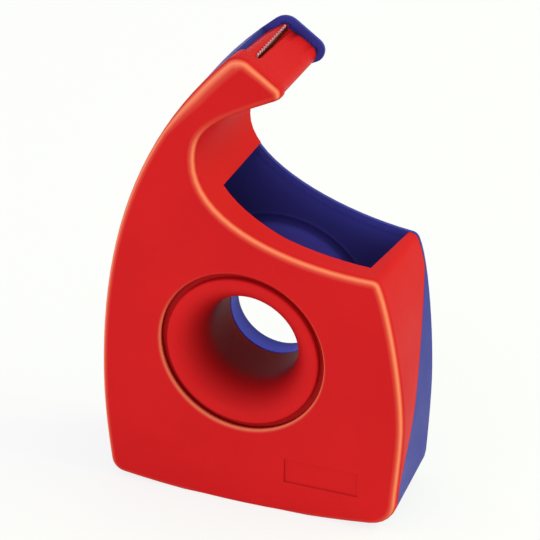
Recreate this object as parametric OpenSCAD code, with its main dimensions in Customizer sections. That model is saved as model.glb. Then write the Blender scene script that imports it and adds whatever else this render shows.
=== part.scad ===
// Hand dispenser for a small roll of adhesive tape.
// Two moulded shells close round a hub that carries the roll. The finger hole runs through the
// hub, the roll shows in a window in the saddle, and the tape ends on a pad with a toothed blade.
// Millimetres, +Z up, front face towards -Y. The origin is under the middle of the housing, on
// the table. Outlines are drawn in X and Z from the finger hole's axis.

/* [Tape] */
// Width of the tape
tape_w = 19; // [15:0.5:20]
// Bore of the cardboard core that slides on the hub
core_d = 25.4; // [25.2:0.1:26.2]

/* [Housing] */
// Depth of the closed housing, front face to back face
housing_d = 28; // [26.5:0.5:34]
// Wall thickness of both shells
wall = 1.8; // [1.4:0.1:1.8]
// Thickness of the front face
face_t = 2; // [1.6:0.1:2.4]
// Thickness of the back face
back_t = 1.8; // [1.4:0.1:2.2]
// Rounding of the front edge
front_r = 2.2; // [1.2:0.1:2.4]
// Rounding of the back edge
back_r = 1.6; // [0.8:0.1:1.7]
// Gap along the parting line
part_gap = 0.2; // [0.1:0.05:0.4]

/* [Outline] */
// Height of the finger hole's axis above the table
axis_h = 40; // [38:0.5:44]
// From the axis to the widest point of the left side
left_w = 34.9; // [33:0.5:38]
// From the axis to the widest point of the right side
right_w = 39.3; // [37:0.1:43]
// Height of the widest points above the table
belly_h = 27; // [22:1:34]
// How much wider the face's rounded edge is at the crown
crown_ease = 2; // [1.2:0.1:2.2]
// Height of the corner that the crown rounds off
crown_h = 114.2; // [112:0.2:120]
// From the axis left to the crown's corner
crown_w = 1.7; // [0:0.1:4]
// Rounding of the crown
crown_r = 4; // [3:0.1:5]
// From the crown's corner to the tip's corner, along the tape pad
nose_l = 15; // [13.5:0.1:17]
// Slope of the tape pad
nose_tilt = 35.5; // [30:0.5:40]
// Rounding of the tip
tip_r = 1.9; // [1.85:0.05:2.2]
// Rounding of the right shoulder
shoulder_r = 2.2; // [2.1:0.05:3]
// Height of the saddle's innermost point
throat_h = 86.5; // [84:0.5:89]
// From the axis left to the saddle's innermost point
throat_w = 11.4; // [9:0.2:13]
// Height of the right shoulder
shoulder_h = 64.8; // [63:0.2:68]
// From the axis to the right shoulder's corner
shoulder_w = 32.2; // [31:0.1:34]
// From the axis to the left foot's corner
left_foot_w = 32.8; // [30:0.1:34]
// From the axis to the right foot's corner
right_foot_w = 37.7; // [35:0.1:39]
// Lift of the left foot's corner above the table
foot_lift = 1.3; // [0.8:0.1:2.5]
// Lift of the right foot's corner above the table
heel_lift = 1.8; // [1:0.1:2.5]
// Rounding of the left foot
foot_r = 4; // [3:0.1:6]
// Rounding of the right foot
heel_r = 7; // [4:0.1:8]
// How much narrower the right side is at the back
back_taper = 1.7; // [0:0.1:2.5]
// How much narrower the right foot is at the back
heel_taper = 1.2; // [0:0.1:3]
// How far the right shoulder stands to the right at the back
shoulder_lean = 0.5; // [-1:0.1:1]
// How far the saddle's inner side stands to the right at the back
saddle_lean = 3; // [0:0.1:3.2]
// How far the nose stands to the right at the back
nose_lean = 2; // [0:0.1:2.2]
// How much rounder the tip is at the back
tip_soften = 1.1; // [0:0.1:1.2]

/* [Parting line] */
// Height where the parting line meets the front edge on the right side
seam_low_h = 13; // [8:1:20]
// Height where it meets the back plate on the right side
seam_high_h = 57; // [50:1:60]
// Depth of the red strip over the crown
crown_seam = 6; // [4:0.5:8]

/* [Roll window] */
// From the front face to the window
window_y = 6.2; // [5:0.1:8]
// From the axis left to the window's end
window_left = 7.9; // [6:0.1:8.2]
// How far the window's end stands to the right at the back
window_lean = 2.2; // [0.8:0.1:2.8]
// How much deeper the window starts at that end
window_slant = 1.8; // [0:0.1:2.4]
// From the axis right to the window's end
window_right = 27.9; // [24:0.1:28.1]
// How far that end stands to the right at the back
window_splay = 3.1; // [0:0.1:3.2]
// How far the window reaches below the right shoulder
window_drop = 6; // [4:0.5:7]

/* [Hub] */
// Diameter of the opening in the front face
mouth_d = 40; // [38:0.5:44]
// Gap all round between that opening and the hub's lip
mouth_gap = 1.5; // [1:0.1:2.5]
// Diameter of the finger hole
bore_d = 22; // [20:0.2:22.6]
// How far behind the roll's near side the flare ends
flare_run = 5.4; // [4.4:0.2:6.4]
// How deep the lip lies behind the front face
lip_y = 0.5; // [0.2:0.1:1]
// Thickness of the lip
lip_t = 1.2; // [0.8:0.1:1.6]
// Thickness of the flange behind the front face
flange_t = 1; // [0.8:0.1:1.4]
// Clearance between the hub and the core, on the radius
core_gap = 0.1; // [0.05:0.05:0.3]
// Running clearance between the hub and the back shell's spigot
run_gap = 0.07; // [0.03:0.01:0.1]
// Wall of the spigot
spigot_t = 0.75; // [0.6:0.05:0.8]
// Height of the spigot's snap bead
bead_h = 0.2; // [0.1:0.05:0.25]

/* [Blade] */
// Width of the blade
blade_w = 19; // [15:0.5:19]
// Thickness of the blade
blade_t = 0.4; // [0.3:0.05:0.6]
// Height of the blade, with its teeth
blade_h = 6; // [4:0.1:7]
// How far the teeth stand above the middle of the tape pad
blade_out = 0.8; // [0.5:0.1:1.4]
// Spacing of the teeth
tooth_pitch = 1.27; // [1:0.01:2]
// Height of the teeth
tooth_h = 0.7; // [0.4:0.05:1]

/* [Label recess] */
// Width of the bare recess in the front face
label_w = 18; // [12:0.5:20]
// Height of the recess
label_h = 6.2; // [4:0.2:7]
// Depth of the recess
label_t = 0.4; // [0.1:0.05:0.5]
// From the right foot's corner to the recess
label_side = 8.8; // [7:0.2:12]
// Height of the recess above the table
label_base = 8.2; // [6:0.2:10]

/* [Hidden] */
$fn = 120;
far = 200;
red = [0.79, 0.13, 0.15];
blue = [0.17, 0.19, 0.50];
steel = [0.70, 0.70, 0.68];

// Places of the axis and of the two faces
axis_x = (left_w - right_w) / 2;
face_y = -housing_d / 2;
plate_y = housing_d - back_t;
ledge = 0.2;
seam_y = max(front_r, face_t) + ledge;
rim_y = plate_y - ledge;
front_end_y = rim_y - part_gap;

// Radii and depths of the hub and its bearing
bore_r = bore_d / 2;
sleeve_r = core_d / 2 - core_gap;
lip_r = mouth_d / 2 - mouth_gap;
boss_rise = 1.2;
boss_y = plate_y - boss_rise;
seat_y = boss_y - 0.4 - tape_w;
spigot_r = bore_r + spigot_t;
spigot_l = 3;
socket_r = spigot_r + run_gap;
end_gap = 0.3;

function unit(a) = [cos(a), sin(a)];

// Points of a cubic curve from p, heading a, to q, heading b, without its last point. fa and fb
// are the lengths of its handles as shares of the chord.
function curve(p, a, q, b, fa, fb, n) =
    let (l = norm(q - p), c = p + unit(a) * l * fa, d = q - unit(b) * l * fb)
    [for (i = [0 : n - 1]) let (t = i / n)
        p * pow(1 - t, 3) + c * 3 * t * pow(1 - t, 2) + d * 3 * t * t * (1 - t) + q * pow(t, 3)];

// Start and end of the arc of radius r that rounds off the corner c between headings a and b,
// and the arc itself
function arc_start(c, a, b, r) = c - unit(a) * r * tan(abs(b - a) / 2);
function arc_end(c, a, b, r) = c + unit(b) * r * tan(abs(b - a) / 2);
function arc_handle(a, b) = 2 / 3 * tan(abs(b - a) / 4) / sin(abs(b - a) / 2);
function arc(c, a, b, r, n) =
    curve(arc_start(c, a, b, r), a, arc_end(c, a, b, r), b, arc_handle(a, b), arc_handle(a, b), n);

// Headings of the sides where they run into the rounded corners, clockwise seen from the front
function arm_a(s) = 45 - 6 * s;
pad_a = -nose_tilt;
under_a = -154.4;
saddle_a = 0;
side_a = -65.3;
heel_a = -93.5;
sole_right_a = -172.6;
sole_left_a = -187.3;
shin_a = -262.6;

// The housing's outline, s = 0 at the front and 1 at the back, from the left side's widest point
function crown(s) = [nose_lean * s - crown_w, crown_h - axis_h];
function tip(s) = crown(s) + unit(pad_a) * nose_l;
function tip_round(s) = tip_r + tip_soften * s;
function shoulder(s) = [shoulder_w + shoulder_lean * s, shoulder_h - axis_h + 0.1 * s];
function right_foot(s) = [right_foot_w - heel_taper * s, heel_lift - axis_h];
function left_foot(s) = [-left_foot_w, foot_lift - axis_h];
function left_belly(s) = [-left_w, belly_h - axis_h];
function right_belly(s) = [right_w - back_taper * s, belly_h - axis_h];
function throat(s) = [saddle_lean * s - throat_w, throat_h - axis_h + 0.7 * s];

function arm_side(s) = let (end = arc_start(crown(s), arm_a(s), pad_a, crown_r),
        way = curve(left_belly(s), 90, end, arm_a(s), 0.384, 0.345 + 0.044 * s, 22))
    concat(way, [way[21] * 0.88 + end * 0.12]);
function crown_arc(s) = arc(crown(s), arm_a(s), pad_a, crown_r, 8);
function pad_side(s) = curve(arc_end(crown(s), arm_a(s), pad_a, crown_r), pad_a,
    arc_start(tip(s), pad_a, under_a, tip_round(s)), pad_a, 0.3, 0.3, 2);
function tip_arc(s) = arc(tip(s), pad_a, under_a, tip_round(s), 8);
function under_side(s) = curve(arc_end(tip(s), pad_a, under_a, tip_round(s)), under_a,
    throat(s), -90, 0.67, 0.28, 13);
function saddle_side(s) = curve(throat(s), -90,
    arc_start(shoulder(s), saddle_a, side_a, shoulder_r), saddle_a - 6 * s,
    0.33 - 0.08 * s, 0.38 + 0.02 * s, 18);
function shoulder_arc(s) = arc(shoulder(s), saddle_a, side_a, shoulder_r, 5);
function right_side(s) = curve(arc_end(shoulder(s), saddle_a, side_a, shoulder_r), side_a,
    right_belly(s), -90, 0.17, 0.3, 12);
function heel_side(s) = curve(right_belly(s), -90,
    arc_start(right_foot(s), heel_a, sole_right_a, heel_r), heel_a, 0.28, 0.26, 5);
function right_foot_arc(s) = arc(right_foot(s), heel_a, sole_right_a, heel_r, 6);
function sole(s) = curve(arc_end(right_foot(s), heel_a, sole_right_a, heel_r), sole_right_a,
    arc_start(left_foot(s), sole_left_a, shin_a, foot_r), sole_left_a, 0.33, 0.33, 12);
function left_foot_arc(s) = arc(left_foot(s), sole_left_a, shin_a, foot_r, 6);
function shin_side(s) = curve(arc_end(left_foot(s), sole_left_a, shin_a, foot_r), shin_a,
    left_belly(s), 90, 0.31, 0.36, 5);

function outline(s) = concat(arm_side(s), crown_arc(s), pad_side(s), tip_arc(s), under_side(s),
    saddle_side(s), shoulder_arc(s), right_side(s), heel_side(s), right_foot_arc(s), sole(s),
    left_foot_arc(s), shin_side(s));

// Where the sides start in the outline
crown_i = len(arm_side(0));
pad_i = crown_i + len(crown_arc(0));
tip_i = pad_i + len(pad_side(0));
under_i = tip_i + len(tip_arc(0));
saddle_i = under_i + len(under_side(0));
right_i = saddle_i + len(saddle_side(0)) + len(shoulder_arc(0));
split_i = crown_i - 2;
cover_i = under_i + 4;
sole_i = right_i + len(right_side(0)) + len(heel_side(0)) + len(right_foot_arc(0));
left_foot_i = sole_i + len(sole(0));

function between(pts, i) = (pts[i] * 3 + pts[i + 1]) / 4;

// The outline moved inwards by d along its own normals
function inset(pts, d) = let (n = len(pts))
    [for (i = [0 : n - 1]) let (v = pts[(i + 1) % n] - pts[(i + n - 1) % n])
        pts[i] + [v[1], -v[0]] * d / norm(v)];

// Share of the way to the back at depth y. A ring of points d inside the outline has its own
// depth for each point, and no point lies below the table.
front_line = outline(0);
back_line = outline(1);
count = len(front_line);
function share(y) = min(1, max(0, (y - front_r) / (housing_d - back_r - front_r)));
function ring(depths, d) = let (f = inset(front_line, d), b = inset(back_line, d))
    [for (i = [0 : count - 1]) let (s = share(depths[i]), p = f[i] * (1 - s) + b[i] * s)
        [p[0], depths[i], max(p[1], -axis_h)]];
function flat_ring(y, d) = ring([for (i = [1 : count]) y], d);

// Depth of the front shell's edge at point i of the outline. Round the throat its wall covers the
// edge of the back plate.
cover_y = housing_d - 1;
function rise(v, v0, v1, y0, y1) = y0 + (y1 - y0) * min(1, max(0, (v - v0) / (v1 - v0)));
function front_edge(i) = let (z = front_line[i][1] + axis_h)
    i < pad_i - 3 ? rise(z, crown_h - 24, crown_h - 2, seam_y, crown_seam) :
    i < under_i + 2 ? pad_y :
    i > cover_i + 1 && i < saddle_i + 8 ? cover_y :
    i < right_i ? front_end_y :
    i < sole_i ? rise(z, seam_low_h, seam_high_h, seam_y, front_end_y) : seam_y;
// Depth of the back shell's edge there. It has no wall from the crown to the shoulder.
function back_edge(i) = i > split_i && i < right_i ? rim_y : min(rim_y, front_edge(i) + part_gap);

// The area inside the outline, cut from the arm to the throat. The first point of each part sees
// all the others.
cut_i = 12;
peak_i = 18;
outline_parts = [
    concat([for (i = [peak_i : saddle_i]) i], [for (i = [cut_i : peak_i - 1]) i]),
    concat([for (i = [left_foot_i : count - 1]) i], [for (i = [0 : cut_i]) i],
        [for (i = [saddle_i : left_foot_i - 1]) i])];

// Closed solid through rings with the same number of points. Parts are the outlines of its ends.
module skin(rings, parts) {
    n = len(rings[0]);
    last = len(rings) - 1;
    sides = [for (j = [0 : last - 1], i = [0 : n - 1], half = [0, 1])
        let (a = j * n + i, b = j * n + (i + 1) % n)
        half == 0 ? [a, a + n, b + n] : [a, b + n, b]];
    back = [for (part = parts) [for (i = [0 : len(part) - 1])
        last * n + part[(len(part) - i) % len(part)]]];
    polyhedron([for (r = rings) each r], concat(parts, sides, back));
}

// From outline coordinates to the part's own frame
module place() {
    translate([axis_x, face_y, axis_h]) children();
}

// Turns a profile of radius and depth round the finger hole's axis
module turned(profile) {
    rotate([-90, 0, 0]) rotate_extrude() polygon(profile);
}

// Prism along X from x0 to x1 over an outline in depth and Z
module prism_x(x0, x1, pts) {
    translate([x0, 0, 0]) rotate([90, 0, 90]) linear_extrude(x1 - x0) polygon(pts);
}

// Prism along Y from y0 to y1 over an outline in X and Z
module prism_y(y0, y1, pts) {
    translate([0, y1, 0]) rotate([90, 0, 0]) linear_extrude(y1 - y0) polygon(pts);
}

// Each shell is one skin: its face, the rounded edge, the outside of the wall, the edge at the
// parting line, and the inside of the wall down to the face's inner side
edge_steps = 4;
function at_crown(i) = i < crown_i ? rise(i, crown_i - 7, crown_i - 4, 0, 1)
    : rise(i, crown_i + 4, pad_i + 1, 1, 0);
function face_ring(a) = let (d = front_r * 0.8 * (1 - sin(a)), near = inset(front_line, d),
        wide = inset(front_line, d * crown_ease))
    [for (i = [0 : count - 1]) let (p = near[i] * (1 - at_crown(i)) + wide[i] * at_crown(i))
        [p[0], front_r * (1 - cos(a)), max(p[1], -axis_h)]];
module front_skin() {
    outside = [for (i = [0 : edge_steps]) face_ring(90 * i / edge_steps)];
    edge = [for (i = [0 : count - 1]) front_edge(i)];
    skin(concat(outside, [ring(edge, 0), ring(edge, wall), flat_ring(face_t, wall)]), outline_parts);
}
module rear_skin() {
    outside = [for (i = [0 : edge_steps]) let (a = 90 * i / edge_steps)
        flat_ring(housing_d - back_r * (1 - sin(a)), back_r * (1 - cos(a)))];
    edge = [for (i = [0 : count - 1]) back_edge(i)];
    skin(concat([flat_ring(plate_y, wall), ring(edge, wall), ring(edge, 0)], outside), outline_parts);
}

// The nose between the faces, as a section that leans with the outline and sinks towards the back.
// u runs along the tape pad from the crown's corner and v down into the nose. The pad starts at
// the blade and ends in a rounded tip. The first point of the section sees all the others.
pad_y = seam_y + 1;
skin_step = 0.06;
crown_step = 0.7;
function nose_point(s, u, v) = crown(s) + unit(pad_a) * u + unit(pad_a - 90) * v;
function pad_start(s) = nose_point(s, 3.4 - 0.7 * s, 0.55 + 2.2 * s);
function pad_tip(s) = let (v = 0.02 + 2.06 * s)
    nose_point(s, nose_l - skin_step - 0.1 * s + v / tan(pad_a - under_a), v);
function pad_line(s) = let (c = pad_tip(s), r = tip_r + 0.3 + 0.4 * s)
    concat(curve(pad_start(s), pad_a + 14, arc_start(c, pad_a, under_a, r), pad_a, 0.4, 0.3, 6),
        arc(c, pad_a, under_a, r, 8), [arc_end(c, pad_a, under_a, r)]);
function nose_section(s) = let (in = inset(outline(s), wall + part_gap + 0.45 * s),
        out = inset(outline(s), crown_step + 1.2 * s), end = unit(arm_a(s)) * part_gap * 1.5,
        side = inset(outline(s), crown_step + 0.7 * s)[split_i + s] + end)
    concat([in[split_i + s] + end, side], [for (i = [crown_i : crown_i + 6]) out[i]],
        pad_line(s), [inset(outline(s), skin_step)[under_i + 2], inset(outline(s), wall / 2)[under_i + 3]],
        [for (i = [split_i - 3 : split_i - 1]) in[i]]);
function level(pts, y) = [for (p = pts) [p[0], y, p[1]]];
module nose_block() {
    near = level(nose_section(0), face_t - 0.5);
    back = level(nose_section(1), rim_y - part_gap / 2);
    steps = 4;
    skin([for (k = [0 : steps]) (near * (steps - k) + back * k) / steps],
        [[for (i = [0 : len(near) - 1]) i]]);
}

// The blade stands upright in a slot at the upper end of the tape pad
blade_at = (pad_start(0) + pad_start(1)) / 2;
blade_y = (crown_seam + front_end_y - blade_w) / 2;
slot_gap = 0.03;
module blade_slot() {
    foot = blade_at[1] + blade_out - blade_h - slot_gap;
    translate([blade_at[0] - blade_t / 2 - slot_gap, blade_y - 0.1, foot])
        cube([blade_t + 2 * slot_gap, blade_w + 0.2, blade_h]);
    translate([blade_at[0] - blade_t / 2 - slot_gap, blade_y - 0.1, pad_start(1)[1] - 0.35])
        cube([blade_t + 0.6, blade_w + 0.2, blade_h]);
}

// Tabs that stand inside the other shell's wall and line the two shells up
tab_t = 1.2;
tab_w = 8;
tab_l = 7;
module edge_tab(i) {
    pts = inset(front_line, wall + 2 * part_gap + tab_t / 2);
    v = pts[i + 1] - pts[i - 1];
    translate([pts[i][0], face_t - 0.4 + tab_l / 2, pts[i][1]])
        rotate([0, -atan2(v[1], v[0]), 0]) cube([tab_w, tab_l, tab_t], center = true);
}

mouth_r = mouth_d / 2;
mouth_edge = 0.9;
module mouth() {
    turned(concat([[0, -1], [mouth_r + mouth_edge, -1]],
        [for (a = [0 : 18 : 90]) [mouth_r + mouth_edge * (1 - sin(a)), mouth_edge * (1 - cos(a))]],
        [[mouth_r, face_t + 1], [0, face_t + 1]]));
}

// The window in the saddle wall. Its left end is cut square to the wall, at end_a, and leans.
end_a = 39;
window_turn = 8;
function on_saddle(line, x) = [x, lookup(x, [for (i = [saddle_i + 1 : right_i - 8]) line[i]])];
function to_back(y) = (y - front_r) / (housing_d - back_r - front_r);
function window_end(y) = let (s = to_back(y))
    on_saddle(front_line, -window_left) * (1 - s) + on_saddle(back_line, window_lean - window_left) * s;
function window_section(y) = let (up = window_end(y) + unit(end_a) * 5,
        down = window_end(y) - unit(end_a) * (wall + 1.2), low = shoulder_h - axis_h - window_drop,
        right = window_right + window_splay * to_back(y))
    [up, [window_turn, up[1]], [right, up[1]], [right, low], [window_turn, low],
        [down[0], low], down];
module window() {
    near = [for (p = window_section(window_y + window_slant)) [p[0],
        window_y + window_slant * max(0, window_turn - p[0]) / (window_turn + window_left), p[1]]];
    back_y = housing_d + 2;
    skin([near, level(window_section(back_y), back_y)], [[0, 1, 4, 5, 6], [1, 2, 3, 4]]);
}

label_x = right_foot_w - label_side - label_w;
label_z = label_base - axis_h;
module front_shell() {
    color(red) place() difference() {
        union() {
            front_skin();
            nose_block();
            for (i = [2, 13, sole_i + 3, sole_i + 9]) edge_tab(i);
        }
        mouth();
        blade_slot();
        window();
        translate([label_x, -1, label_z]) cube([label_w, 1 + label_t, label_h]);
    }
}

// The bearing in the back shell: a low boss beside the roll, and the spigot that the hub snaps on
boss_r = 20.3;
boss_foot_r = 21.2;
hole_edge = 1.6;
bead_y = boss_y - spigot_l / 2;
rib_r = 23.3;
module bearing() {
    turned(concat([[bore_r, housing_d - hole_edge]],
        [for (a = [15 : 15 : 90]) [bore_r + hole_edge * (1 - cos(a)),
            housing_d - hole_edge * (1 - sin(a))]],
        [[boss_foot_r, housing_d], [boss_foot_r, plate_y], [boss_r, boss_y], [spigot_r, boss_y],
        [spigot_r, bead_y + 2 * bead_h], [spigot_r + bead_h, bead_y], [spigot_r, bead_y - 2 * bead_h],
        [spigot_r, boss_y - spigot_l], [bore_r, boss_y - spigot_l]]));
    turned([[rib_r - 0.9, plate_y + 0.2], [rib_r - 0.3, plate_y - 0.3], [rib_r + 0.3, plate_y - 0.3],
        [rib_r + 0.9, plate_y + 0.2]]);
}

module side_tab() {
    y = seam_y + (plate_y - seam_y) * 0.36;
    translate([right_belly(share(y))[0] - wall - 2 * part_gap - tab_t, y - tab_l / 2,
        belly_h - axis_h - tab_w / 2]) cube([tab_t, tab_l * 2, tab_w]);
}

// Rebate in the plate's edge for the front shell's wall, from the nose to the window's end
module saddle_rebate() {
    out = inset(back_line, -1);
    in = inset(back_line, wall + part_gap);
    end = window_end(housing_d) + unit(end_a - 90) * part_gap;
    way = [for (i = [cover_i + 1 : saddle_i + 8]) if (i < saddle_i || back_line[i][0] < end[0] - 0.2) i];
    prism_y(rim_y - 0.1, housing_d + 1, concat([between(out, cover_i)], [for (i = way) out[i]],
        [end + unit(end_a), end - unit(end_a) * (wall + 2 * part_gap)],
        [for (j = [1 : len(way)]) in[way[len(way) - j]]], [between(in, cover_i)]));
}

module rear_shell() {
    color(blue) place() {
        difference() {
            rear_skin();
            saddle_rebate();
            turned([[0, 0], [boss_foot_r - 1, 0], [boss_foot_r - 1, far], [0, far]]);
        }
        bearing();
        side_tab();
    }
}

// The hub: a flared finger hole whose lip shows in the mouth, a flange behind the front face, and a
// sleeve for the tape's core, open at the back for the spigot
groove_r = socket_r + bead_h;
lip_round = lip_t / 2;
face_gap = 0.4;
module roll_hub() {
    root_r = lip_r - lip_round;
    flange_r = mouth_r + 0.8;
    flange_y = face_t + face_gap;
    step_y = boss_y - spigot_l - end_gap;
    end_y = boss_y - end_gap;
    flare_y = seat_y + flare_run;
    color(red) place() turned(concat(
        [for (a = [0 : 7.5 : 90]) [root_r - (root_r - bore_r) * sin(a),
            flare_y - (flare_y - lip_y) * cos(a)]],
        [[bore_r, step_y], [socket_r, step_y], [socket_r, bead_y - 3.5 * bead_h],
        [groove_r, bead_y - 2 * bead_h], [groove_r, bead_y + 2 * bead_h],
        [socket_r, bead_y + 3.5 * bead_h], [socket_r, end_y], [sleeve_r, end_y]],
        [for (a = [90 : -7.5 : 0]) [lip_r - (lip_r - sleeve_r) * sin(a),
            seat_y - (seat_y - flange_y - flange_t) * cos(a)]],
        [[flange_r, flange_y + flange_t], [flange_r, flange_y], [lip_r, flange_y]],
        [for (a = [0 : 30 : 60]) [root_r + lip_round * cos(a), lip_y + lip_round * (1 - sin(a))]]));
}

module cutter_blade() {
    teeth = floor(blade_w / tooth_pitch);
    side = (blade_w - teeth * tooth_pitch) / 2;
    top = blade_at[1] + blade_out;
    color(steel) place() prism_x(blade_at[0] - blade_t / 2, blade_at[0] + blade_t / 2,
        concat([[blade_y, top - blade_h], [blade_y, top - tooth_h]],
            [for (i = [0 : teeth - 1], p = [[0, -tooth_h], [0.5, 0]])
                [blade_y + side + (i + p[0]) * tooth_pitch, top + p[1]]],
            [[blade_y + blade_w - side, top - tooth_h], [blade_y + blade_w, top - tooth_h],
            [blade_y + blade_w, top - blade_h]]));
}

front_shell();
rear_shell();
roll_hub();
cutter_blade();
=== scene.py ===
"""A hand dispenser for adhesive tape, dressed for a picture: two moulded shells in red and dark
blue, a flared finger hole and a toothed blade, on a pale table in soft light.

Lengths are metres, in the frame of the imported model. +Z is up and the red face looks towards -Y.
"""

import math

import bpy
from bpy.props import FloatProperty, FloatVectorProperty, IntProperty, PointerProperty
from bpy.types import Operator, Panel, PropertyGroup
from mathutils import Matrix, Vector


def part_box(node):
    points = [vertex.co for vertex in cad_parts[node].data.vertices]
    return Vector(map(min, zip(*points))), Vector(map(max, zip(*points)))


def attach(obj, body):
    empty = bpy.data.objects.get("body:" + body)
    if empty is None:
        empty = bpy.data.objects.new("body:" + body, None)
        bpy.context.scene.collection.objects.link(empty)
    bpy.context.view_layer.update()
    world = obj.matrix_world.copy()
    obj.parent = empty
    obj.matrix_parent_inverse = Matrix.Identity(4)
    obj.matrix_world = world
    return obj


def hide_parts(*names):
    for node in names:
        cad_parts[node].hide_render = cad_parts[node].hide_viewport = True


bl_info = {
    "name": "Hand Tape Dispenser",
    "version": (1, 0, 0),
    "blender": (4, 5, 0),
    "location": "View3D > Sidebar > Dispenser",
    "description": "Builds the moulded shells, hub, blade and stage of a hand tape dispenser",
    "category": "Object",
}

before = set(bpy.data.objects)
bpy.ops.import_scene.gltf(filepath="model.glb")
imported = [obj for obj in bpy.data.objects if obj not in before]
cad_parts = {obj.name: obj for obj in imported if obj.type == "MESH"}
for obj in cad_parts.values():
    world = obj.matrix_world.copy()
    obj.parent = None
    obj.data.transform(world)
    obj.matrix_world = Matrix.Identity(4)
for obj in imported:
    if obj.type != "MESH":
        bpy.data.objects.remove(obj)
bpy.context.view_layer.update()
MM = 0.001
HUB_LOW, HUB_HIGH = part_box("roll_hub")
BLADE_LOW, BLADE_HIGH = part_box("cutter_blade")
AXIS = Vector(((HUB_LOW.x + HUB_HIGH.x) / 2, 0.0, (HUB_LOW.z + HUB_HIGH.z) / 2))
FACE_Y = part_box("front_shell")[0].y

# Depths behind the front face between which the shells' rounded edge gets a painted highlight.
EDGE_NEAR, EDGE_FAR = 0.02 * MM, 1.3 * MM
# Reach round the axis and depth behind the front face of the bearing boss's flat front, which gets
# a painted highlight.
BOSS_RADIUS, BOSS_DEPTH = 20.6 * MM, 25.3 * MM
# Share of the flare's depth that stays in the plain colour before the bore's painted shade starts.
PLAIN_FLARE = 0.05
# How much paler the painted highlight makes the thin blue edges, and how much darker the painted
# shade makes a deep bore.
BLUE_HIGHLIGHT_TONE, BORE_SHADE_TONE = 2.4, 0.3
# Painted shade and painted reflection of the red plastic on the blade below its teeth.
BLADE_SHADE = (0.22, 0.06, 0.045)

LAMP_TARGET = (0, 0, 0.06)
KEY_PLACE, KEY_SIZE, KEY_COLOUR = (0.82, 0.18, 0.76), (0.6, 0.6), (0.75, 1.0, 0.28)
FILL_PLACE, FILL_SIZE = (-0.35, -0.95, 0.25), (0.7, 0.25)
CAMERA_PLACE = (0.21352842, -0.56639035, 0.37971747)
CAMERA_DEGREES = (61.798692, -0.52878, 20.983539)
# Share of pure white in the floor as the camera and reflections see it.
FLOOR_GLOW = 0.82


# ------------------------------------------------------------------ settings

class ShellSettings(PropertyGroup):
    """Colours and surface of the two moulded shells."""

    red: FloatVectorProperty(
        name="Red", description="Colour of the front shell's plastic",
        default=(0.6, 0.011, 0.014), size=3, min=0.0, max=1.0, subtype="COLOR")
    blue: FloatVectorProperty(
        name="Blue", description="Colour of the rear shell's plastic",
        default=(0.043, 0.046, 0.33), size=3, min=0.0, max=1.0, subtype="COLOR")
    # Colour of the painted highlight on the red shell's thin rounded edges.
    edge: FloatVectorProperty(
        name="Edge", description="Colour of the red plastic on its thin rounded edges",
        default=(0.92, 0.24, 0.13), size=3, min=0.0, max=1.0, subtype="COLOR")
    gloss: FloatProperty(
        name="Roughness", description="Mean roughness of the moulded surface",
        default=0.45, min=0.05, max=0.9, subtype="FACTOR")
    grain: FloatProperty(
        name="Grain", description="Size of the fine waves that the mould leaves",
        default=0.7 * MM, min=0.1 * MM, max=5 * MM, unit="LENGTH")
    recess: FloatProperty(
        name="Recess", description="Depth of the bare recess in the front face",
        default=0.4 * MM, min=0.1 * MM, max=1 * MM, unit="LENGTH")
    smooth_angle: FloatProperty(
        name="Smoothing angle", description="Edges flatter than this are shaded smooth",
        default=math.radians(33), min=0.0, max=math.pi, subtype="ANGLE")


class HubSettings(PropertyGroup):
    """Sizes of the turned hub, measured from its axis and from the front face."""

    lip_radius: FloatProperty(
        name="Lip radius", description="Outer radius of the lip in the front face",
        default=18.5 * MM, min=0.01, max=0.03, unit="LENGTH")
    flange_radius: FloatProperty(
        name="Flange radius", description="Outer radius of the flange behind the front face",
        default=(HUB_HIGH.x - HUB_LOW.x) / 2, min=0.01, max=0.03, unit="LENGTH")
    flange_depth: FloatProperty(
        name="Flange depth", description="Where the flange starts, from the front face",
        default=2.4 * MM, min=0.002, max=0.004, unit="LENGTH")
    flange_thickness: FloatProperty(
        name="Flange thickness", description="Thickness of the flange",
        default=1.0 * MM, min=0.0005, max=0.002, unit="LENGTH")
    lip_depth: FloatProperty(
        name="Lip depth", description="How far the lip lies behind the front face",
        default=HUB_LOW.y - FACE_Y, min=0.0, max=0.005, unit="LENGTH")
    lip_thickness: FloatProperty(
        name="Lip thickness", description="Thickness of the rounded lip",
        default=1.2 * MM, min=0.5 * MM, max=2 * MM, unit="LENGTH")
    bore_radius: FloatProperty(
        name="Bore radius", description="Radius of the finger hole",
        default=11.0 * MM, min=0.008, max=0.012, unit="LENGTH")
    flare_depth: FloatProperty(
        name="Flare depth", description="Depth of the flare from the front face",
        default=11.0 * MM, min=0.005, max=0.013, unit="LENGTH")
    sleeve_radius: FloatProperty(
        name="Sleeve radius", description="Outer radius of the sleeve that carries the roll",
        default=12.6 * MM, min=0.012, max=0.0131, unit="LENGTH")
    seat_depth: FloatProperty(
        name="Seat depth", description="Where the sleeve starts, from the front face",
        default=5.6 * MM, min=0.003, max=0.009, unit="LENGTH")
    socket_radius: FloatProperty(
        name="Socket radius", description="Radius of the bearing socket at the back",
        default=11.82 * MM, min=0.0112, max=0.0124, unit="LENGTH")
    socket_depth: FloatProperty(
        name="Socket length", description="Length of the bearing socket at the back",
        default=3.0 * MM, min=0.002, max=0.006, unit="LENGTH")
    segments: IntProperty(
        name="Segments", description="Steps of the turned shape", default=144, min=48, max=256)


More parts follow.
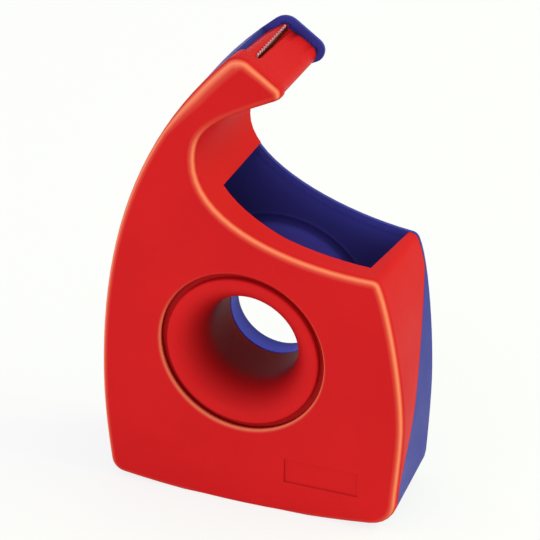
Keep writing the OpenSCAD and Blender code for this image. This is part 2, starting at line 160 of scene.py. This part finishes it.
class BladeSettings(PropertyGroup):
    """Sizes of the toothed strip."""

    pitch: FloatProperty(
        name="Tooth pitch", description="Spacing of the teeth",
        default=1.27 * MM, min=0.8 * MM, max=2 * MM, unit="LENGTH")
    tooth: FloatProperty(
        name="Tooth height", description="Height of the teeth",
        default=0.7 * MM, min=0.3 * MM, max=1.2 * MM, unit="LENGTH")
    steel: FloatVectorProperty(
        name="Steel", description="Colour of the blade",
        default=(0.86, 0.5, 0.62), size=3, min=0.0, max=1.0, subtype="COLOR")


class StageSettings(PropertyGroup):
    """Floor, lamps and camera."""

    floor: FloatVectorProperty(
        name="Floor", description="Colour of the floor",
        default=(0.86, 0.86, 0.86), size=3, min=0.0, max=1.0, subtype="COLOR")
    key: FloatProperty(
        name="Key lamp", description="Power of the large lamp above and to the right",
        default=6.3, min=0.0, max=100.0, unit="POWER")
    fill: FloatProperty(
        name="Front lamp", description="Power of the lamp in front",
        default=2.0, min=0.0, max=100.0, unit="POWER")
    sky: FloatProperty(
        name="Sky", description="Strength of the even light from all round",
        default=0.85, min=0.0, max=2.0)
    focal: FloatProperty(
        name="Focal length", description="Focal length of the camera in millimetres",
        default=200.0, min=20.0, max=400.0)


# ------------------------------------------------------------------ helpers

def settings(name):
    return getattr(bpy.context.scene, "dispenser_" + name)


def deselect():
    if bpy.context.mode != "OBJECT":
        bpy.ops.object.mode_set(mode="OBJECT")
    bpy.ops.object.select_all(action="DESELECT")


def activate(obj):
    deselect()
    obj.select_set(True)
    bpy.context.view_layer.objects.active = obj


def apply_modifiers(obj):
    activate(obj)
    for modifier in list(obj.modifiers):
        bpy.ops.object.modifier_apply(modifier=modifier.name)


def place_in_mesh(obj):
    activate(obj)
    bpy.ops.object.transform_apply(location=True, rotation=True, scale=True)


def clean(obj, distance=1e-6):
    """Merges the doubles and turns every face outwards."""
    activate(obj)
    bpy.ops.object.mode_set(mode="EDIT")
    bpy.ops.mesh.select_all(action="SELECT")
    bpy.ops.mesh.remove_doubles(threshold=distance)
    bpy.ops.mesh.normals_make_consistent(inside=False)
    bpy.ops.object.mode_set(mode="OBJECT")


def smooth(obj, angle):
    """Shades the rounded parts smooth and keeps flat faces flat."""
    activate(obj)
    bpy.ops.object.shade_smooth_by_angle(angle=angle)
    weighted = obj.modifiers.new("Weighted normals", "WEIGHTED_NORMAL")
    weighted.keep_sharp = True
    weighted.weight = 60
    apply_modifiers(obj)


def chain(name, points):
    """An open line through the points, drawn by extruding one vertex."""
    deselect()
    bpy.ops.mesh.primitive_plane_add(size=MM, location=points[0])
    obj = bpy.context.object
    obj.name = obj.data.name = name
    place_in_mesh(obj)
    bpy.ops.object.mode_set(mode="EDIT")
    bpy.ops.mesh.select_all(action="SELECT")
    bpy.ops.mesh.merge(type="CENTER")
    for a, b in zip(points, points[1:]):
        bpy.ops.mesh.extrude_region_move(TRANSFORM_OT_translate={"value": Vector(b) - Vector(a)})
    bpy.ops.object.mode_set(mode="OBJECT")
    return obj


def turned(name, profile, segments):
    """Spins a closed profile of (radius, depth behind the face) round the finger hole's axis."""
    points = [(AXIS.x + r, FACE_Y + y, AXIS.z) for r, y in profile + profile[:1]]
    obj = chain(name, points)
    activate(obj)
    bpy.ops.object.mode_set(mode="EDIT")
    bpy.ops.mesh.select_all(action="SELECT")
    bpy.ops.mesh.spin(steps=segments, angle=math.tau, center=AXIS, axis=(0, 1, 0))
    bpy.ops.object.mode_set(mode="OBJECT")
    clean(obj)
    return obj


def finish_piece(obj, material, body, node):
    """Gives a piece its material and its place in the frame."""
    obj.data.materials.clear()
    obj.data.materials.append(material)
    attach(obj, body)
    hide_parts(node)


# ------------------------------------------------------------------ materials

def new_material(name):
    material = bpy.data.materials.new(name)
    material.use_nodes = True
    tree = material.node_tree
    shader = next(n for n in tree.nodes if n.type == "BSDF_PRINCIPLED")
    return material, tree, shader


def noise(tree, scale, detail=3.0, stretch=None):
    """Noise on the piece's own coordinates. Scale is in waves per metre."""
    where = tree.nodes.new("ShaderNodeTexCoord").outputs["Object"]
    if stretch:
        mapping = tree.nodes.new("ShaderNodeMapping")
        mapping.inputs["Scale"].default_value = stretch
        tree.links.new(where, mapping.inputs["Vector"])
        where = mapping.outputs["Vector"]
    node = tree.nodes.new("ShaderNodeTexNoise")
    node.inputs["Scale"].default_value = scale
    node.inputs["Detail"].default_value = detail
    tree.links.new(where, node.inputs["Vector"])
    return node.outputs["Fac"]


def between(tree, factor, low, high):
    """Turns a factor about 0.5 into a value from low to high."""
    node = tree.nodes.new("ShaderNodeMapRange")
    node.inputs["From Min"].default_value = 0.3
    node.inputs["From Max"].default_value = 0.7
    node.inputs["To Min"].default_value = low
    node.inputs["To Max"].default_value = high
    tree.links.new(factor, node.inputs["Value"])
    return node.outputs["Result"]


def blend(tree, factor, first, second):
    """Mixes two colours by a factor. Each is a colour or another node's output."""
    node = tree.nodes.new("ShaderNodeMix")
    node.data_type = "RGBA"
    for name, colour in (("A", first), ("B", second)):
        if isinstance(colour, tuple):
            node.inputs[name].default_value = (*colour, 1.0)
        else:
            tree.links.new(colour, node.inputs[name])
    tree.links.new(factor, node.inputs["Factor"])
    return node.outputs["Result"]


def mark(tree, name):
    """The value that the mesh carries in a named attribute."""
    node = tree.nodes.new("ShaderNodeAttribute")
    node.attribute_name = name
    return node.outputs["Fac"]


def bump(tree, factor, strength, distance, after=None):
    node = tree.nodes.new("ShaderNodeBump")
    node.inputs["Strength"].default_value = strength
    node.inputs["Distance"].default_value = distance
    tree.links.new(factor, node.inputs["Height"])
    if after:
        tree.links.new(after, node.inputs["Normal"])
    return node.outputs["Normal"]


def moulded_plastic(name, colour, edge, gloss, grain):
    """Coloured plastic straight from a polished mould: cloudy tint, faint waves, fine pores.

    Its thin rounded edges get a painted highlight in the edge colour, and a deep bore gets
    painted shade. The mesh marks them in its "edge" and "deep" attributes.
    """
    material, tree, shader = new_material(name)
    cloud = between(tree, noise(tree, 38.0, 4.0), 0.0, 1.0)
    dull = tuple(c * 0.95 for c in colour)
    fresh = tuple(min(1.0, c * 1.04 + 0.001) for c in colour)
    # Painted shade colour for the deep bore.
    dark = tuple(c * BORE_SHADE_TONE for c in colour)
    # Painted highlight on the rounded edges, over the random cloudy tint.
    toned = blend(tree, mark(tree, "edge"), blend(tree, cloud, dull, fresh), edge)
    tree.links.new(blend(tree, mark(tree, "deep"), toned, dark), shader.inputs["Base Color"])
    handled = noise(tree, 95.0, 5.0)
    tree.links.new(between(tree, handled, gloss - 0.04, gloss + 0.05), shader.inputs["Roughness"])
    waves = bump(tree, noise(tree, 1.0 / grain, 2.0), 0.12, 0.02 * MM)
    pores = bump(tree, noise(tree, 6.0 / grain, 3.0), 0.1, 0.006 * MM, waves)
    tree.links.new(pores, shader.inputs["Normal"])
    shader.inputs["IOR"].default_value = 1.5
    shader.inputs["Specular IOR Level"].default_value = 0.04
    return material


def blade_steel(name, colour, root, tip):
    """Stamped strip steel: scratches along the strip, a painted highlight on the teeth.

    The teeth reach from the height root to the height tip.
    """
    material, tree, shader = new_material(name)
    scratches = noise(tree, 900.0, 6.0, (6.0, 0.25, 6.0))
    stain = between(tree, noise(tree, 260.0, 4.0), 0.0, 1.0)
    brown = (colour[0] * 0.62, colour[1] * 0.52, colour[2] * 0.44)
    height = tree.nodes.new("ShaderNodeSeparateXYZ")
    where = tree.nodes.new("ShaderNodeTexCoord").outputs["Object"]
    tree.links.new(where, height.inputs["Vector"])
    tooth_highlight = tree.nodes.new("ShaderNodeMapRange")
    tooth_highlight.inputs["From Min"].default_value = root - 0.25 * (tip - root)
    tooth_highlight.inputs["From Max"].default_value = tip
    tree.links.new(height.outputs["Z"], tooth_highlight.inputs["Value"])
    # Painted shade and reflection on the blade face below the teeth, painted highlight on the
    # teeth, random stains.
    toned = blend(tree, tooth_highlight.outputs["Result"], BLADE_SHADE, blend(tree, stain, colour, brown))
    tree.links.new(toned, shader.inputs["Base Color"])
    tree.links.new(between(tree, scratches, 0.28, 0.5), shader.inputs["Roughness"])
    tree.links.new(bump(tree, scratches, 0.25, 0.01 * MM), shader.inputs["Normal"])
    shader.inputs["Metallic"].default_value = 1.0
    return material


# ------------------------------------------------------------------ pieces

def paint_edge_highlight(obj, recess):
    """Marks the shell's rounded edge for a painted highlight, but not the recess's floor, which is
    as deep.

    The painted highlight fades out where the edge looks down, away from the light.
    """
    marks = obj.data.attributes.new("edge", "FLOAT", "POINT")
    for vertex, item in zip(obj.data.vertices, marks.data):
        depth = vertex.co.y - FACE_Y
        if EDGE_NEAR < depth < EDGE_FAR and abs(depth - recess) > 0.01 * MM:
            share = min(1.0, max(0.0, (vertex.normal.z + 0.75) / 0.6))
            across = (depth - EDGE_NEAR) / (EDGE_FAR - EDGE_NEAR)
            item.value = share * math.sin(math.pi * across) ** 1.5


def paint_bore_shade(obj, near, far):
    """Marks the finger hole's wall for painted shade, from one depth behind the front face to
    another.
    """
    marks = obj.data.attributes.new("deep", "FLOAT", "POINT")
    for vertex, item in zip(obj.data.vertices, marks.data):
        depth = vertex.co.y - FACE_Y
        item.value = min(1.0, max(0.0, (depth - near) / (far - near))) ** 0.85


def paint_boss_highlight(obj):
    """Marks the flat front of the bearing's boss with the same painted highlight as the edges."""
    marks = obj.data.attributes["edge"]
    for vertex, item in zip(obj.data.vertices, marks.data):
        near_axis = math.hypot(vertex.co.x - AXIS.x, vertex.co.z - AXIS.z) < BOSS_RADIUS
        if near_axis and vertex.co.y - FACE_Y < BOSS_DEPTH:
            item.value = 1.0


def flatten_face(obj):
    """Joins the thin triangles that meet, partly folded, in one corner of the front face."""
    activate(obj)
    bpy.ops.object.mode_set(mode="EDIT")
    bpy.ops.mesh.select_all(action="SELECT")
    bpy.ops.mesh.remove_doubles(threshold=1e-6)
    bpy.ops.mesh.select_all(action="DESELECT")
    bpy.ops.mesh.select_mode(type="FACE")
    bpy.ops.object.mode_set(mode="OBJECT")
    mesh = obj.data
    flat = [face for face in mesh.polygons
            if all(abs(mesh.vertices[v].co.y - FACE_Y) < 0.001 * MM for v in face.vertices)]
    folded = [set(face.vertices) for face in flat if face.normal.y > 0]
    if folded:
        corner = set.intersection(*folded)
        for face in flat:
            face.select = bool(corner & set(face.vertices))
    bpy.ops.object.mode_set(mode="EDIT")
    if folded:
        bpy.ops.mesh.dissolve_faces()
    bpy.ops.mesh.select_mode(type="VERT")
    bpy.ops.object.mode_set(mode="OBJECT")


def dressed_shell(node, name, body, material):
    """A smooth-shaded copy of a shell's solid."""
    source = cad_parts[node]
    deselect()
    obj = bpy.data.objects.new(name, source.data.copy())
    obj.data.name = name
    bpy.context.scene.collection.objects.link(obj)
    flatten_face(obj)
    clean(obj)
    smooth(obj, settings("shells").smooth_angle)
    paint_edge_highlight(obj, settings("shells").recess)
    finish_piece(obj, material, body, node)
    return obj


class DISPENSER_OT_front_shell(Operator):
    """Dresses the red front shell with its face, saddle wall and nose"""

    bl_idname = "dispenser.front_shell"
    bl_label = "Front shell"

    def execute(self, context):
        s = settings("shells")
        material = moulded_plastic("red moulded plastic", tuple(s.red), tuple(s.edge), s.gloss,
                                   s.grain)
        dressed_shell("front_shell", "front_moulding", "front_shell", material)
        return {"FINISHED"}


class DISPENSER_OT_rear_shell(Operator):
    """Dresses the blue rear shell with its back plate, walls and bearing"""

    bl_idname = "dispenser.rear_shell"
    bl_label = "Rear shell"

    def execute(self, context):
        s = settings("shells")
        # Painted highlight colour for the thin blue edges and the boss's front.
        pale = tuple(c * BLUE_HIGHLIGHT_TONE for c in s.blue)
        material = moulded_plastic("blue moulded plastic", tuple(s.blue), pale, s.gloss, s.grain)
        obj = dressed_shell("rear_shell", "rear_moulding", "rear_shell", material)
        paint_boss_highlight(obj)
        return {"FINISHED"}


class DISPENSER_OT_hub(Operator):
    """Turns the hub: the flared finger hole, its rounded lip and the sleeve for the roll"""

    bl_idname = "dispenser.hub"
    bl_label = "Roll hub"

    def execute(self, context):
        h = settings("hub")
        s = settings("shells")
        end = HUB_HIGH.y - FACE_Y
        half = h.lip_thickness / 2
        root = h.lip_radius - half
        steps = 24
        profile = []
        for i in range(steps + 1):
            a = math.pi / 2 * i / steps
            profile.append((root - (root - h.bore_radius) * math.sin(a),
                            h.flare_depth - (h.flare_depth - h.lip_depth) * math.cos(a)))
        ease = 0.25 * MM
        profile += [(h.bore_radius, end - h.socket_depth - ease),
                    (h.bore_radius + ease, end - h.socket_depth),
                    (h.socket_radius, end - h.socket_depth),
                    (h.socket_radius, end - ease), (h.socket_radius + ease, end),
                    (h.sleeve_radius - ease, end), (h.sleeve_radius, end - ease)]
        back = h.flange_depth + h.flange_thickness
        for i in range(steps, -1, -1):
            a = math.pi / 2 * i / steps
            profile.append((h.lip_radius - (h.lip_radius - h.sleeve_radius) * math.sin(a),
                            h.seat_depth - (h.seat_depth - back) * math.cos(a)))
        profile += [(h.flange_radius - ease, back), (h.flange_radius, back - ease),
                    (h.flange_radius, h.flange_depth + ease),
                    (h.flange_radius - ease, h.flange_depth), (h.lip_radius, h.flange_depth)]
        for i in range(8):
            a = math.pi / 2 * i / 8
            profile.append((root + half * math.cos(a), h.lip_depth + half * (1 - math.sin(a))))
        obj = turned("hub_moulding", profile, h.segments)
        smooth(obj, s.smooth_angle)
        # Painted shade, darker deeper in the bore.
        paint_bore_shade(obj, PLAIN_FLARE * h.flare_depth, h.flare_depth)
        material = moulded_plastic("red hub plastic", tuple(s.red), tuple(s.edge), s.gloss, s.grain)
        finish_piece(obj, material, "roll_hub", "roll_hub")
        return {"FINISHED"}


class DISPENSER_OT_blade(Operator):
    """Stamps the toothed steel strip in the nose"""

    bl_idname = "dispenser.blade"
    bl_label = "Cutter blade"

    def execute(self, context):
        b = settings("blade")
        low, high = BLADE_LOW, BLADE_HIGH
        width = high.y - low.y
        teeth = int(width / b.pitch)
        side = (width - teeth * b.pitch) / 2
        root = high.z - b.tooth
        x = (low.x + high.x) / 2
        points = [(x, low.y, low.z), (x, low.y, root)]
        for i in range(teeth):
            y = low.y + side + i * b.pitch
            points += [(x, y, root), (x, y + b.pitch / 2, high.z)]
        points += [(x, high.y - side, root), (x, high.y, root), (x, high.y, low.z)]
        obj = chain("blade_strip", points)
        activate(obj)
        bpy.ops.object.mode_set(mode="EDIT")
        bpy.ops.mesh.select_all(action="SELECT")
        bpy.ops.mesh.edge_face_add()
        bpy.ops.object.mode_set(mode="OBJECT")
        solid = obj.modifiers.new("Thickness", "SOLIDIFY")
        solid.thickness = high.x - low.x
        solid.offset = 0.0
        edge = obj.modifiers.new("Burr", "BEVEL")
        edge.width = 0.04 * MM
        edge.segments = 1
        edge.limit_method = "ANGLE"
        edge.angle_limit = math.radians(60)
        apply_modifiers(obj)
        clean(obj, 1e-7)
        finish_piece(obj, blade_steel("blade steel", tuple(b.steel), root, high.z), "front_shell",
                     "cutter_blade")
        return {"FINISHED"}


# ------------------------------------------------------------------ stage

def soft_lamp(name, place, size, power, colour=(1.0, 1.0, 1.0)):
    deselect()
    bpy.ops.object.light_add(type="AREA", location=place)
    lamp = bpy.context.object
    lamp.name = name
    lamp.data.shape = "RECTANGLE"
    lamp.data.size, lamp.data.size_y = size
    lamp.data.energy = power
    lamp.data.color = colour
    way = Vector(LAMP_TARGET) - Vector(place)
    lamp.rotation_euler = way.to_track_quat("-Z", "Y").to_euler()
    return lamp


def seen_directly(tree):
    """1 for rays that show the background itself: camera, glossy and transmission rays."""
    path = tree.nodes.new("ShaderNodeLightPath")
    total = None
    for name in ("Is Camera Ray", "Is Glossy Ray", "Is Transmission Ray"):
        if total is None:
            total = path.outputs[name]
            continue
        most = tree.nodes.new("ShaderNodeMath")
        most.operation = "MAXIMUM"
        tree.links.new(total, most.inputs[0])
        tree.links.new(path.outputs[name], most.inputs[1])
        total = most.outputs["Value"]
    return total


class DISPENSER_OT_stage(Operator):
    """Sets the pale floor, the soft lamps and the camera"""

    bl_idname = "dispenser.stage"
    bl_label = "Stage"

    def execute(self, context):
        s = settings("stage")
        scene = context.scene
        deselect()
        bpy.ops.mesh.primitive_plane_add(size=8.0, location=(0, 0, 0))
        floor = context.object
        floor.name = "floor"
        material = bpy.data.materials.new("pale floor")
        material.use_nodes = True
        tree = material.node_tree
        tree.nodes.clear()
        out = tree.nodes.new("ShaderNodeOutputMaterial")
        mix = tree.nodes.new("ShaderNodeMixShader")
        matt = tree.nodes.new("ShaderNodeBsdfDiffuse")
        glow = tree.nodes.new("ShaderNodeEmission")
        share = tree.nodes.new("ShaderNodeMath")
        share.operation = "MULTIPLY"
        share.inputs[1].default_value = FLOOR_GLOW
        matt.inputs["Color"].default_value = (*s.floor, 1.0)
        glow.inputs["Strength"].default_value = 1.0
        tree.links.new(seen_directly(tree), share.inputs[0])
        tree.links.new(share.outputs["Value"], mix.inputs["Fac"])
        tree.links.new(matt.outputs["BSDF"], mix.inputs[1])
        tree.links.new(glow.outputs["Emission"], mix.inputs[2])
        tree.links.new(mix.outputs["Shader"], out.inputs["Surface"])
        floor.data.materials.append(material)

        soft_lamp("key lamp", KEY_PLACE, KEY_SIZE, s.key, KEY_COLOUR)
        soft_lamp("front lamp", FILL_PLACE, FILL_SIZE, s.fill)

        world = bpy.data.worlds.new("pale room")
        scene.world = world
        world.use_nodes = True
        tree = world.node_tree
        sky = tree.nodes["Background"]
        sky.inputs["Color"].default_value = (1.0, 1.0, 1.0, 1.0)
        sky.inputs["Strength"].default_value = s.sky

        lens = bpy.data.cameras.new("camera")
        camera = bpy.data.objects.new("camera", lens)
        scene.collection.objects.link(camera)
        camera.location = CAMERA_PLACE
        camera.rotation_euler = tuple(math.radians(a) for a in CAMERA_DEGREES)
        lens.sensor_width = 36.0
        lens.lens = s.focal
        lens.clip_start, lens.clip_end = 0.01, 20.0
        scene.camera = camera
        scene.view_settings.view_transform = "Standard"
        return {"FINISHED"}


# ------------------------------------------------------------------ panel

PIECES = (DISPENSER_OT_front_shell, DISPENSER_OT_rear_shell, DISPENSER_OT_hub,
          DISPENSER_OT_blade, DISPENSER_OT_stage)
GROUPS = {"shells": ShellSettings, "hub": HubSettings, "blade": BladeSettings,
          "stage": StageSettings}


class DISPENSER_PT_sidebar(Panel):
    """Lists the dispenser's settings and pieces"""

    bl_idname = "DISPENSER_PT_sidebar"
    bl_label = "Hand tape dispenser"
    bl_space_type = "VIEW_3D"
    bl_region_type = "UI"
    bl_category = "Dispenser"

    def draw(self, context):
        for name, group in GROUPS.items():
            box = self.layout.box()
            for prop in group.__annotations__:
                box.prop(settings(name), prop)
        for piece in PIECES:
            self.layout.operator(piece.bl_idname)


CLASSES = (*GROUPS.values(), *PIECES, DISPENSER_PT_sidebar)


def register():
    for cls in CLASSES:
        bpy.utils.register_class(cls)
    for name, group in GROUPS.items():
        setattr(bpy.types.Scene, "dispenser_" + name, PointerProperty(type=group))


def unregister():
    for name in GROUPS:
        delattr(bpy.types.Scene, "dispenser_" + name)
    for cls in reversed(CLASSES):
        bpy.utils.unregister_class(cls)


def main():
    register()
    bpy.ops.dispenser.front_shell()
    bpy.ops.dispenser.rear_shell()
    bpy.ops.dispenser.hub()
    bpy.ops.dispenser.blade()
    bpy.ops.dispenser.stage()


if __name__ == "__main__":
    main()
